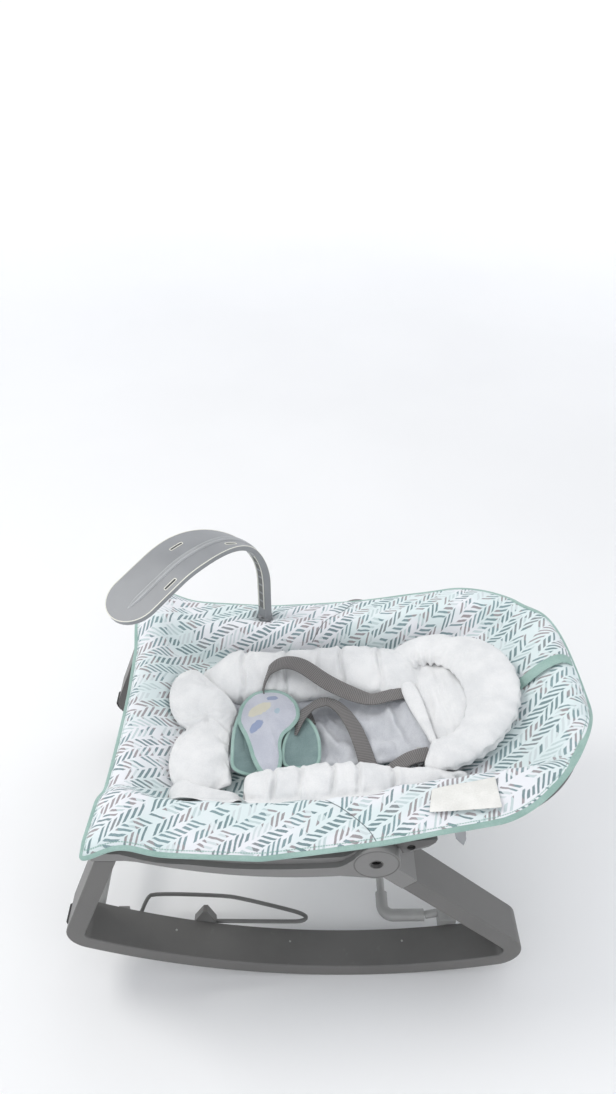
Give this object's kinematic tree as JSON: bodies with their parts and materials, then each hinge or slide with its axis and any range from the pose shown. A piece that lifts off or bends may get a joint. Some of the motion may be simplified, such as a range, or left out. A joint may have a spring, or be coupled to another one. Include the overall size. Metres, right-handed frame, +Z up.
{
  "type": "bouncer seat",
  "caption": "Baby bouncer seat on curved rocker hoops, with a reclining padded back, folding wire kickstands, a harness and a swivelling toy bar.",
  "frame": {"origin": "on the floor, under the middle of the object's bounding box", "axes": "+X toward the head end, -Y the left side of the child, +Z up"},
  "size_m": [0.7433, 0.48, 0.5309],
  "materials": {
    "frame_plastic": "satin, slightly textured",
    "bracket_plastic": "matte",
    "buckle_plastic": "satin",
    "toy_plastic": "satin",
    "screw_steel": "plated",
    "dark_screw": "black oxide",
    "grey_tube": "powder coat",
    "wire": "powder coat",
    "dark_tube": "powder coat",
    "rubber": "matte",
    "cover_fabric": "printed knit, padded",
    "insert_fabric": "brushed knit, padded",
    "mint_fabric": "woven",
    "webbing": "ribbed webbing",
    "label": "satin tape"
  },
  "bodies": {
    "base": {"rocker_hoop_left": "frame_plastic", "rocker_hoop_right": "frame_plastic", "hoop_cover_left": "frame_plastic", "hoop_cover_right": "frame_plastic", "side_arm_left": "frame_plastic", "side_arm_right": "frame_plastic", "hub_pin_left": "screw_steel", "hub_pin_right": "screw_steel", "hub_screws": "dark_screw", "cover_screws": "screw_steel", "front_cross_tube": "grey_tube", "rear_cross_tube": "grey_tube", "rear_elbow_left": "grey_tube", "rear_elbow_right": "grey_tube", "rear_link_left": "grey_tube", "rear_link_right": "grey_tube", "front_stop_left": "rubber", "front_stop_right": "rubber", "kickstand_lug_left": "bracket_plastic", "kickstand_lug_right": "bracket_plastic", "kickstand_clip_left": "bracket_plastic", "kickstand_clip_right": "bracket_plastic", "seat_frame_tube": "dark_tube", "seat_saddles_left": "bracket_plastic", "seat_saddles_right": "bracket_plastic", "saddle_bolts": "screw_steel", "toy_bar_socket": "bracket_plastic", "seat_pad": "cover_fabric", "insert_seat": "insert_fabric", "bolster_left_seat": "insert_fabric", "bolster_right_seat": "insert_fabric", "crotch_panel": "mint_fabric", "crotch_strap": "webbing", "buckle": "buckle_plastic", "waist_strap_left_front": "webbing", "waist_strap_right_front": "webbing"},
    "back": {"recline_bracket_left": "bracket_plastic", "recline_bracket_right": "bracket_plastic", "bracket_screws": "screw_steel", "back_frame_tube": "dark_tube", "cover_hook_left": "toy_plastic", "cover_hook_right": "toy_plastic", "back_pad": "cover_fabric", "insert_back": "insert_fabric", "bolster_left_back": "insert_fabric", "bolster_right_back": "insert_fabric", "head_pillow": "insert_fabric", "waist_strap_left_rear": "webbing", "waist_strap_right_rear": "webbing", "strap_slot_left": "buckle_plastic", "strap_slot_right": "buckle_plastic", "head_strap": "mint_fabric", "blank_label": "label"},
    "kickstand_left": {"kickstand_left": "wire"},
    "kickstand_right": {"kickstand_right": "wire"},
    "toy_bar": {"toy_bar": "toy_plastic"}
  },
  "joints": [
    {"name": "recline", "type": "hinge", "parent": "base", "child": "back", "pos_m": [0.0572, 0, 0.288], "axis": [0, -1, 0], "range_deg": [0, 35]},
    {"name": "kickstand_left_fold", "type": "hinge", "parent": "base", "child": "kickstand_left", "pos_m": [-0.2958, -0.1795, 0.05], "axis": [0.9994, 0, -0.0339], "range_deg": [-88, 0]},
    {"name": "kickstand_right_fold", "type": "hinge", "parent": "base", "child": "kickstand_right", "pos_m": [-0.2958, 0.1795, 0.05], "axis": [0.9994, 0, -0.0339], "range_deg": [0, 88]},
    {"name": "toy_bar_swivel", "type": "hinge", "parent": "base", "child": "toy_bar", "pos_m": [-0.0978, 0.205, 0.292], "axis": [0, 0, 1], "range_deg": [-45, 45]}
  ]
}
